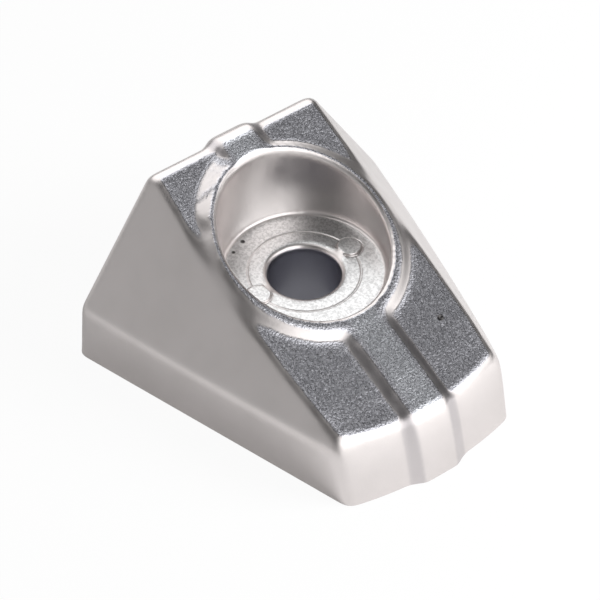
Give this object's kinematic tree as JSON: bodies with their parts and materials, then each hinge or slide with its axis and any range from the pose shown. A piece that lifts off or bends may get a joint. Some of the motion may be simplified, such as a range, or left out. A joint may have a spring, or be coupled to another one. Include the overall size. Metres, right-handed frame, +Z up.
{
  "type": "sacrificial anode",
  "caption": "Wedge-shaped cast block of anode metal, held by one bolt through a deep counterbore, that corrodes in place of nearby metal under water.",
  "frame": {"origin": "on the bolt hole's axis, at the flat underside", "axes": "+Z up the bolt hole's axis, away from the surface that the anode is bolted to; +X towards the low front; the shape is symmetric about the XZ plane"},
  "size_m": [0.0451, 0.0466, 0.0255],
  "materials": {
    "anode_metal": "as cast, satin walls and a finely grained top"
  },
  "bodies": {
    "root": {"anode_casting": "anode_metal"}
  },
  "joints": []
}
